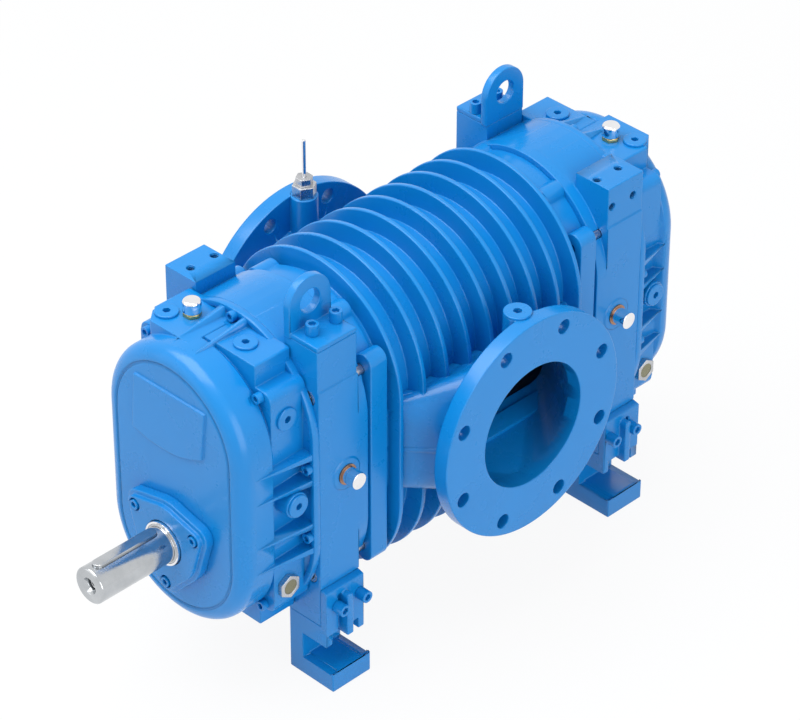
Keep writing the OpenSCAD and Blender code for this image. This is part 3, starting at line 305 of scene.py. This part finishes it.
def makeOilGlass(name):
    material, tree, shader = newMaterial(name)
    grain = placeGroup(tree, castGrain, Grain_scale=200.0, Swell_scale=60.0)
    tree.links.new(mixColour(tree, grain.outputs["Tone"], (0.13, 0.12, 0.030), (0.24, 0.22, 0.060)),
                   shader.inputs["Base Color"])
    tree.links.new(remap(tree, grain.outputs["Tone"], 0.0, 1.0, 0.06, 0.14), shader.inputs["Roughness"])
    shader.inputs["Transmission Weight"].default_value = 0.35
    shader.inputs["Coat Weight"].default_value = 1.0
    shader.inputs["Coat Roughness"].default_value = 0.03
    return material


castPaint = makeBluePaint("blueCastPaint", 0.0022, 28.0, 0.04)
platePaint = makeBluePaint("blueMachinedPaint", 0.0012, 16.0, 0.03)
screwPaint = makeBluePaint("blueScrewPaint", 0.0005, 60.0, 0.02)
shaftSteel = makeTurnedSteel("polishedShaft", (25.0, 2200.0, 25.0), 0.0008,
                             (0.56, 0.58, 0.60), (0.46, 0.48, 0.50), (0.07, 0.18))
turnedSteel = makeTurnedSteel("turnedSteel", (200.0, 1500.0, 200.0), 0.0005,
                              steelLook["tone"], steelLook["dark"], steelLook["roughness"])
brightPlate = makeTurnedSteel("brightPlating", (60.0, 60.0, 60.0), 0.0006,
                              (0.88, 0.88, 0.89), (0.80, 0.80, 0.82), (0.04, 0.12))
bareIron = makeTurnedSteel("bareIron", (300.0, 900.0, 300.0), 0.0006,
                           (0.30, 0.30, 0.31), (0.20, 0.20, 0.21), (0.34, 0.52))
brassTone = makeTurnedSteel("turnedBrass", (200.0, 200.0, 1500.0), 0.0005,
                            (0.62, 0.50, 0.22), (0.46, 0.38, 0.18), (0.22, 0.36))
copperTone = makeTurnedSteel("copperWasher", (900.0, 200.0, 200.0), 0.0004,
                             (0.46, 0.26, 0.17), (0.30, 0.16, 0.10), (0.24, 0.40))
blackRubber = makeRubber("blackRubber")
oilGlass = makeOilGlass("oilGlass")
print("materials built")

finishOf = {
    "castPaint": (castPaint, ["main_casing", "front_cover", "rear_cover", "seal_cover"]),
    "platePaint": (platePaint, [
        "front_side_plate", "rear_side_plate", "front_right_foot", "front_left_foot",
        "rear_right_foot", "rear_left_foot", "front_lifting_eye", "rear_lifting_eye"]),
    "screwPaint": (screwPaint, [
        "foot_screws", "lifting_eye_screws", "cover_screws", "seal_cover_screws", "oil_plugs",
        "neck_plug"]),
    "shaftSteel": (shaftSteel, ["drive_shaft", "driven_shaft", "drive_key"]),
    "turnedSteel": (turnedSteel, [
        "plate_screws", "dowel_pins", "sight_glass_bezels", "sensor_fitting", "sensor_nut",
        "bearing_outer_rings", "retainer_screws", "drive_timing_gear", "driven_timing_gear",
        "drive_bearing_inner_rings", "driven_bearing_inner_rings", "oil_slinger",
        "drive_bearing_rollers", "driven_bearing_rollers"]),
    "brightPlate": (brightPlate, [
        "front_breather_cap", "rear_breather_cap", "plate_plugs", "sensor_probe", "seal_sleeve"]),
    "bareIron": (bareIron, [
        "bearing_retainers", "drive_lobe_rotor", "driven_lobe_rotor", "drive_gear_nut",
        "driven_gear_nut", "drive_front_nut", "driven_front_nut"]),
    "brassTone": (brassTone, [
        "breather_bases", "rotor_seal_bushes", "drive_bearing_cages", "driven_bearing_cages"]),
    "copperTone": (copperTone, ["plate_plug_washers"]),
    "blackRubber": (blackRubber, ["shaft_lip_seal"]),
    "oilGlass": (oilGlass, ["sight_glasses"]),
}
for material, names in finishOf.values():
    for name in names:
        nodes[name].data.materials.clear()
        nodes[name].data.materials.append(material)


# Real rounded edges: a merged copy of the CAD node gets a bevel and stands for the node.
# Its faces are split into triangles first, because faces with many corners fold in a bevel.

edgeWidths = {
    "main_casing": 0.0014,
    "front_side_plate": 0.0016, "rear_side_plate": 0.0016,
    "front_cover": 0.0014, "rear_cover": 0.0014, "seal_cover": 0.0012,
    "front_right_foot": 0.0018, "front_left_foot": 0.0018,
    "rear_right_foot": 0.0018, "rear_left_foot": 0.0018,
    "front_lifting_eye": 0.0016, "rear_lifting_eye": 0.0016,
    "foot_screws": 0.0008, "lifting_eye_screws": 0.0008, "cover_screws": 0.0006,
    "seal_cover_screws": 0.0006, "oil_plugs": 0.0007, "neck_plug": 0.0007,
    "plate_plugs": 0.0007, "sight_glass_bezels": 0.0006,
    "front_breather_cap": 0.0010, "rear_breather_cap": 0.0010, "breather_bases": 0.0006,
    "sensor_fitting": 0.0007, "sensor_nut": 0.0007,
    "drive_shaft": 0.0010, "drive_key": 0.0006,
}
edgeRule = {
    "sharp": 34, "acute": 40, "turn": 25, "segments": 2, "smooth": 34,
    "merge": 0.00001, "flat": 0.3,
}


def isAwkward(corner, sharp, width):
    # A corner where a bevel would fold over: a short edge that turns, or two edges that close in
    edges = [edge for edge in corner.link_edges if edge in sharp]
    if any(edge.calc_length() < width for edge in edges):
        if len(edges) != 2:
            return True
        first, second = [(edge.other_vert(corner).co - corner.co).normalized() for edge in edges]
        if math.pi - first.angle(second, 0) > math.radians(edgeRule["turn"]):
            return True
    for loop in corner.link_loops:
        if loop.edge in sharp and loop.link_loop_prev.edge in sharp:
            if loop.calc_angle() < math.radians(edgeRule["acute"]):
                return True
    return any(len(edge.link_faces) != 2 for edge in corner.link_edges)


def weighEdges(piece, width):
    work = bmesh.new()
    work.from_mesh(piece.data)
    weight = work.edges.layers.float.new("bevel_weight_edge")
    limit = math.radians(edgeRule["sharp"])
    sharp = {edge for edge in work.edges if len(edge.link_faces) == 2 and edge.calc_face_angle() > limit}
    skipped = {corner for corner in work.verts if isAwkward(corner, sharp, width)}
    for edge in sharp:
        if edge.verts[0] not in skipped and edge.verts[1] not in skipped:
            edge[weight] = 1.0
    work.to_mesh(piece.data)
    work.free()


# Between its corner blocks a side plate is an oval arc, so its copy is cut down from the flat crown

ovalEnd = {
    "radius": 0.1503, "middles": {-1: 0.250, 1: 0.415}, "blockStart": 0.08605, "reach": 0.19,
    "behind": 0.2449, "beyond": 0.330, "facets": 192,
    "coreLength": 1.0, "seamReach": 0.001, "seamDepth": 0.0006,
    "rimBack": 0.3165, "rimDepth": 0.0115, "rimWidth": 0.009, "rimFacets": 128, "rimBevel": 0.0016,
}
plateEnds = {"front_side_plate": -1, "rear_side_plate": 1}


def cutWith(piece, tool):
    bpy.ops.object.select_all(action="DESELECT")
    piece.select_set(True)
    bpy.context.view_layer.objects.active = piece
    cut = piece.modifiers.new("cut", "BOOLEAN")
    cut.operation, cut.solver, cut.object = "DIFFERENCE", "EXACT", tool
    bpy.ops.object.modifier_apply(modifier=cut.name)
    bpy.data.objects.remove(tool)


def crownCutter(end, up):
    # A box over the gap between two blocks, less the cylinder that stays
    half, middle = ovalEnd["blockStart"], ovalEnd["middles"][up]
    nearY, farY = ovalEnd["behind"], ovalEnd["beyond"]
    bpy.ops.object.select_all(action="DESELECT")
    bpy.ops.mesh.primitive_cube_add(
        size=1, location=(0, end * (nearY + farY) / 2, middle + up * ovalEnd["reach"] / 2),
        scale=(2 * half, farY - nearY, ovalEnd["reach"]))
    cutter = bpy.context.object
    bpy.ops.object.transform_apply(location=True, rotation=True, scale=True)
    bpy.ops.object.select_all(action="DESELECT")
    bpy.ops.mesh.primitive_cylinder_add(
        vertices=ovalEnd["facets"], radius=ovalEnd["radius"], depth=ovalEnd["coreLength"],
        location=(0, 0, middle), rotation=(math.pi / 2, 0, 0))
    core = bpy.context.object
    bpy.ops.object.transform_apply(location=True, rotation=True, scale=True)
    cutWith(cutter, core)
    return cutter


def unweighSeam(piece):
    # What is left of the blocks' back step is too narrow for a bevel
    work = bmesh.new()
    work.from_mesh(piece.data)
    weight = work.edges.layers.float["bevel_weight_edge"]
    reach = ovalEnd["blockStart"] + ovalEnd["seamReach"]
    for edge in work.edges:
        if all(abs(corner.co.x) < reach
               and abs(abs(corner.co.y) - ovalEnd["behind"]) < ovalEnd["seamDepth"]
               for corner in edge.verts):
            edge[weight] = 0.0
    work.to_mesh(piece.data)
    work.free()


def selectWhere(mesh, test):
    # Corners, edges and faces have to agree before edit mode opens
    chosen = {corner.index for corner in mesh.vertices if test(corner.co)}
    for corner in mesh.vertices:
        corner.select = corner.index in chosen
    for part in [*mesh.edges, *mesh.polygons]:
        part.select = all(index in chosen for index in part.vertices)
    bpy.context.tool_settings.mesh_select_mode = (True, False, False)


def plateRim(name, end):
    # The raised oval rim round the cover, on the plate's outer face
    low, high = ovalEnd["middles"][-1], ovalEnd["middles"][1]
    bpy.ops.object.select_all(action="DESELECT")
    bpy.ops.mesh.primitive_circle_add(
        vertices=ovalEnd["rimFacets"], radius=ovalEnd["radius"], fill_type="NGON",
        location=(0, end * ovalEnd["rimBack"], low), rotation=(math.pi / 2, 0, 0))
    rim = bpy.context.object
    bpy.ops.object.transform_apply(location=True, rotation=True, scale=True)
    selectWhere(rim.data, lambda place: place.z > low + 0.0001)
    bpy.ops.object.mode_set(mode="EDIT")
    bpy.ops.transform.translate(value=(0, 0, high - low))
    bpy.ops.mesh.select_all(action="SELECT")
    bpy.ops.mesh.select_mode(type="FACE")
    bpy.ops.mesh.inset(thickness=ovalEnd["rimWidth"])
    bpy.ops.mesh.delete(type="ONLY_FACE")
    bpy.ops.mesh.select_all(action="SELECT")
    bpy.ops.mesh.extrude_region_move(TRANSFORM_OT_translate={"value": (0, end * ovalEnd["rimDepth"], 0)})
    bpy.ops.mesh.select_all(action="SELECT")
    bpy.ops.mesh.normals_make_consistent(inside=False)
    bpy.ops.object.mode_set(mode="OBJECT")
    edges = rim.modifiers.new("edges", "BEVEL")
    edges.width, edges.segments, edges.limit_method = ovalEnd["rimBevel"], 2, "ANGLE"
    bpy.ops.object.modifier_apply(modifier=edges.name)
    bpy.ops.object.shade_smooth_by_angle(angle=math.radians(edgeRule["smooth"]))
    rim.name = name
    rim.data.materials.append(platePaint)
    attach(rim, nodes["front_side_plate"]["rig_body"])


def roundEdges(name, width):
    source = nodes[name]
    bpy.ops.object.select_all(action="DESELECT")
    piece = bpy.data.objects.new(name + "_edged", source.data.copy())
    bpy.context.scene.collection.objects.link(piece)
    piece.select_set(True)
    bpy.context.view_layer.objects.active = piece
    bpy.ops.object.mode_set(mode="EDIT")
    bpy.ops.mesh.select_all(action="SELECT")
    bpy.ops.mesh.remove_doubles(threshold=edgeRule["merge"])
    bpy.ops.mesh.dissolve_limited(angle_limit=math.radians(edgeRule["flat"]))
    bpy.ops.mesh.select_all(action="SELECT")
    bpy.ops.mesh.quads_convert_to_tris(quad_method="BEAUTY", ngon_method="BEAUTY")
    bpy.ops.object.mode_set(mode="OBJECT")
    weighEdges(piece, width)
    if name in plateEnds:
        for up in (-1, 1):
            cutWith(piece, crownCutter(plateEnds[name], up))
        unweighSeam(piece)
    bevel = piece.modifiers.new("edges", "BEVEL")
    bevel.width = width
    bevel.segments = edgeRule["segments"]
    bevel.limit_method = "WEIGHT"
    bevel.use_clamp_overlap = False
    bevel.loop_slide = False
    bpy.ops.object.modifier_apply(modifier=bevel.name)
    bpy.ops.object.shade_smooth_by_angle(angle=math.radians(edgeRule["smooth"]))
    even = piece.modifiers.new("evenShade", "WEIGHTED_NORMAL")
    even.keep_sharp = True
    bpy.ops.object.modifier_apply(modifier=even.name)
    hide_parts(name)
    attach(piece, source["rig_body"])


for name, width in edgeWidths.items():
    roundEdges(name, width)
plateRim("frontPlateRim", -1)
plateRim("rearPlateRim", 1)
print("edges rounded:", len(edgeWidths), "nodes, two rims added")


# Cast corners where the ducts leave the barrel: they close the narrow gaps between the ribs there

ductCorner = {
    "middle": 0.3325, "barrelX": 0.127, "outerX": 0.154, "barrelHalf": 0.176, "outerHalf": 0.130,
    "barrelTop": 0.0718, "outerTop": 0.0788, "thickness": 0.006, "bevel": 0.0015, "segments": 2,
}


def castCorner(side, up):
    size = ductCorner
    bpy.ops.object.select_all(action="DESELECT")
    middle = ((size["barrelX"] + size["outerX"]) / 2, 0, size["barrelTop"] - size["thickness"] / 2)
    bpy.ops.mesh.primitive_cube_add(
        size=1, location=middle,
        scale=(size["outerX"] - size["barrelX"], 2 * size["barrelHalf"], size["thickness"]))
    corner = bpy.context.object
    bpy.ops.object.transform_apply(location=True, rotation=True, scale=True)
    selectWhere(corner.data, lambda place: place.x > (size["barrelX"] + size["outerX"]) / 2)
    bpy.ops.object.mode_set(mode="EDIT")
    bpy.ops.transform.resize(value=(1, size["outerHalf"] / size["barrelHalf"], 1))
    bpy.ops.transform.translate(value=(0, 0, size["outerTop"] - size["barrelTop"]))
    bpy.ops.object.mode_set(mode="OBJECT")
    corner.scale = (side, 1, up)
    corner.location = (0, 0, size["middle"])
    bpy.ops.object.transform_apply(location=True, rotation=True, scale=True)
    bpy.ops.object.mode_set(mode="EDIT")
    bpy.ops.mesh.select_all(action="SELECT")
    bpy.ops.mesh.normals_make_consistent(inside=False)
    bpy.ops.object.mode_set(mode="OBJECT")
    return corner


def ductCorners():
    corners = [castCorner(side, up) for side in (-1, 1) for up in (-1, 1)]
    bpy.ops.object.select_all(action="DESELECT")
    for corner in corners:
        corner.select_set(True)
    group = corners[0]
    bpy.context.view_layer.objects.active = group
    bpy.ops.object.join()
    group.name = "ductCorners"
    edges = group.modifiers.new("edges", "BEVEL")
    edges.width, edges.segments = ductCorner["bevel"], ductCorner["segments"]
    bpy.ops.object.modifier_apply(modifier=edges.name)
    bpy.ops.object.shade_smooth_by_angle(angle=math.radians(edgeRule["smooth"]))
    group.data.materials.clear()
    group.data.materials.append(castPaint)
    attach(group, nodes["main_casing"]["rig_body"])


ductCorners()
print("duct corners cast")


# Tapped holes: a helical ridge stands on the wall of each tapped hole that the record names

threadLook = {"pitch": 0.00175, "steps": 28, "bareEnds": 2, "merge": 0.00001, "smooth": 40}


def threadRidge(centre, axis, radius, length):
    pitch = threadLook["pitch"]
    turns = int(length / pitch) - threadLook["bareEnds"]
    bpy.ops.object.select_all(action="DESELECT")
    bpy.ops.mesh.primitive_circle_add(
        vertices=3, radius=0.5 * pitch, fill_type="NOTHING",
        location=(radius, 0, 0), rotation=(math.pi / 2, -math.pi / 2, 0))
    ridge = bpy.context.object
    bpy.ops.object.transform_apply(location=True, rotation=True, scale=True)
    screw = ridge.modifiers.new("turns", "SCREW")
    screw.angle = 2 * math.pi
    screw.screw_offset = pitch
    screw.iterations = turns
    screw.steps = screw.render_steps = threadLook["steps"]
    bpy.ops.object.modifier_apply(modifier=screw.name)
    bpy.ops.object.mode_set(mode="EDIT")
    bpy.ops.mesh.select_all(action="SELECT")
    bpy.ops.mesh.remove_doubles(threshold=threadLook["merge"])
    bpy.ops.mesh.fill_holes(sides=3)
    bpy.ops.mesh.normals_make_consistent(inside=False)
    bpy.ops.object.mode_set(mode="OBJECT")
    turn = Vector(axis).to_track_quat("Z", "Y").to_matrix().to_4x4()
    down = Matrix.Translation((0, 0, -0.5 * turns * pitch))
    ridge.matrix_world = Matrix.Translation(centre) @ turn @ down
    bpy.ops.object.transform_apply(location=True, rotation=True, scale=True)
    return ridge


def threadGroup(name, holes, carrier, material):
    ridges = [threadRidge(*hole) for hole in holes]
    bpy.ops.object.select_all(action="DESELECT")
    for ridge in ridges:
        ridge.select_set(True)
    group = ridges[0]
    bpy.context.view_layer.objects.active = group
    if len(ridges) > 1:
        bpy.ops.object.join()
    group.name = name
    bpy.ops.object.shade_smooth_by_angle(angle=math.radians(threadLook["smooth"]))
    group.data.materials.clear()
    group.data.materials.append(material)
    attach(group, nodes[carrier]["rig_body"])


def tappedHoles(word):
    found = []
    for mount in frame["record"]["mounts"]:
        if mount["kind"] == "threaded_hole" and word in mount["name"]:
            size = mount["dims"]
            found.append((mount["pos_m"], mount["axis"], size["r_mm"] / 1000, size["length_mm"] / 1000))
    return found


def blockSideHoles(depth=0.024):
    found = []
    for mount in frame["record"]["mounts"]:
        if mount["name"].endswith("block_side"):
            x, y, z = mount["pos_m"]
            inward = -0.5 * depth * mount["axis"][0]
            half = mount["dims"]["spacing_x_mm"] / 2000
            for step in (-half, half):
                place = (x + inward, y + step, z)
                found.append((place, mount["axis"], mount["dims"]["hole_r_mm"] / 1000, depth))
    return found


threadGroup("blockThreads", tappedHoles("block_top") + blockSideHoles(), "front_side_plate",
            castPaint)
threadGroup("footThreads", tappedHoles("foundation"), "front_right_foot", bareIron)
threadGroup("shaftThread", tappedHoles("drive_shaft"), "drive_shaft", turnedSteel)
print("threads cut")


# Studio

studio = {
    "floorHalf": 12.0,
    "floorTone": (0.78, 0.79, 0.80),
    "floorWhite": 0.92,
    "sky": 0.60, "skyTone": (0.93, 0.96, 1.0),
    "topLight": (140.0, 3.2, (-0.6, -1.0, 3.6)),
    "frontLight": (16.0, 3.0, (-2.0, -3.6, 1.4)),
    "sideLight": (62.0, 2.8, (3.6, -0.6, 1.2)),
}


def makeFloor():
    half = studio["floorHalf"]
    bpy.ops.object.select_all(action="DESELECT")
    bpy.ops.mesh.primitive_plane_add(size=2 * half, location=(0, 0, 0))
    floor = bpy.context.object
    floor.name = "floor"
    material, tree, shader = newMaterial("paleFloor")
    shader.inputs["Base Color"].default_value = (*studio["floorTone"], 1.0)
    shader.inputs["Roughness"].default_value = 0.9
    shader.inputs["Specular IOR Level"].default_value = 0.1
    glow = addNode(tree, "ShaderNodeEmission")
    glow.inputs["Color"].default_value = (1.0, 1.0, 1.0, 1.0)
    path = addNode(tree, "ShaderNodeLightPath")
    mix = addNode(tree, "ShaderNodeMixShader")
    seen = mathNode(tree, "MAXIMUM", path.outputs["Is Camera Ray"], path.outputs["Is Glossy Ray"])
    seen = mathNode(tree, "MAXIMUM", seen, path.outputs["Is Transmission Ray"])
    share = mathNode(tree, "MULTIPLY", seen, studio["floorWhite"])
    tree.links.new(share, mix.inputs[0])
    tree.links.new(shader.outputs[0], mix.inputs[1])
    tree.links.new(glow.outputs[0], mix.inputs[2])
    tree.links.new(mix.outputs[0], tree.nodes["Material Output"].inputs["Surface"])
    floor.data.materials.append(material)


def makeWorld():
    world = bpy.data.worlds.new("studioSky")
    world.use_nodes = True
    tree = world.node_tree
    backdrop = tree.nodes["Background"]
    backdrop.inputs["Color"].default_value = (*studio["skyTone"], 1.0)
    backdrop.inputs["Strength"].default_value = studio["sky"]
    white = addNode(tree, "ShaderNodeBackground")
    white.inputs["Color"].default_value = (1.0, 1.0, 1.0, 1.0)
    white.inputs["Strength"].default_value = 1.0
    path = addNode(tree, "ShaderNodeLightPath")
    seen = mathNode(tree, "MAXIMUM", path.outputs["Is Camera Ray"], path.outputs["Is Glossy Ray"])
    seen = mathNode(tree, "MAXIMUM", seen, path.outputs["Is Transmission Ray"])
    mix = addNode(tree, "ShaderNodeMixShader")
    tree.links.new(seen, mix.inputs[0])
    tree.links.new(backdrop.outputs[0], mix.inputs[1])
    tree.links.new(white.outputs[0], mix.inputs[2])
    tree.links.new(mix.outputs[0], tree.nodes["World Output"].inputs["Surface"])
    bpy.context.scene.world = world


def addAreaLight(name, power, size, place, aim=(0, 0, 0.3)):  # watts, metres
    data = bpy.data.lights.new(name, "AREA")
    data.energy = power
    data.size = size
    lamp = bpy.data.objects.new(name, data)
    lamp.location = place
    lamp.rotation_euler = (Vector(aim) - Vector(place)).to_track_quat("-Z", "Y").to_euler()
    bpy.context.scene.collection.objects.link(lamp)


view = {
    "eye": (3.0684, -3.0911, 3.3984),
    "aim": (-0.011414, -0.011252, 0.318615),
    "roll": 0.135,
    "lens": 170.24,
    "shift": (0.0042, 0.0008),
}


def addCamera():
    data = bpy.data.cameras.new("camera")
    data.lens = view["lens"]
    data.sensor_width = 36.0
    data.shift_x, data.shift_y = view["shift"]
    data.clip_end = 100.0
    camera = bpy.data.objects.new("camera", data)
    look = (Vector(view["aim"]) - Vector(view["eye"])).to_track_quat("-Z", "Y")
    turn = look.to_matrix().to_4x4() @ Matrix.Rotation(math.radians(view["roll"]), 4, "Z")
    camera.matrix_world = Matrix.Translation(view["eye"]) @ turn
    bpy.context.scene.collection.objects.link(camera)
    bpy.context.scene.camera = camera


makeFloor()
makeWorld()
for lightName in ("topLight", "frontLight", "sideLight"):
    addAreaLight(lightName, *studio[lightName])
addCamera()
bpy.context.scene.view_settings.view_transform = "Standard"
print("studio set")
